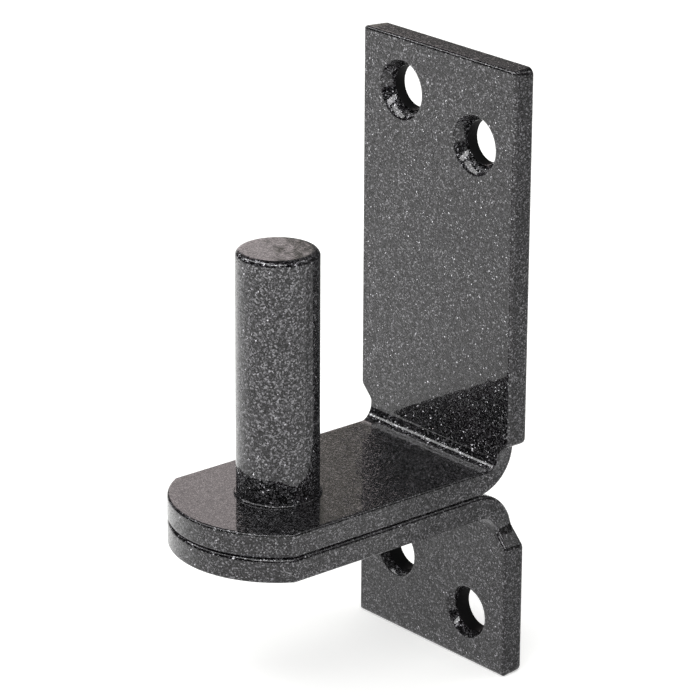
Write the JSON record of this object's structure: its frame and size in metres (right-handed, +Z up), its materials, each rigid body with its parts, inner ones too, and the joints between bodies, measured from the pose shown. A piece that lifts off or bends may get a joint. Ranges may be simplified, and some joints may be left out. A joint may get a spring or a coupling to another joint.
{
  "type": "gate hinge pin",
  "caption": "Upright hinge pin riveted through two angle brackets that screw to a gate post, for the eye of a strap hinge to turn on.",
  "frame": {"origin": "on the pin's axis, on the top face of the upper tongue, where the eye of the gate's strap rests", "axes": "+Z up along the pin, +Y towards the post that the legs are screwed to, +X across the bar"},
  "size_m": [0.035, 0.0531, 0.1],
  "materials": {
    "bracket_coat": "glossy metallic-flake powder coat, dark grey, on folded steel bar",
    "pin_coat": "glossy metallic-flake powder coat, dark grey, on a turned steel pin"
  },
  "bodies": {
    "root": {"upper_bracket": "bracket_coat", "lower_bracket": "bracket_coat", "hinge_pin": "pin_coat"}
  },
  "joints": []
}
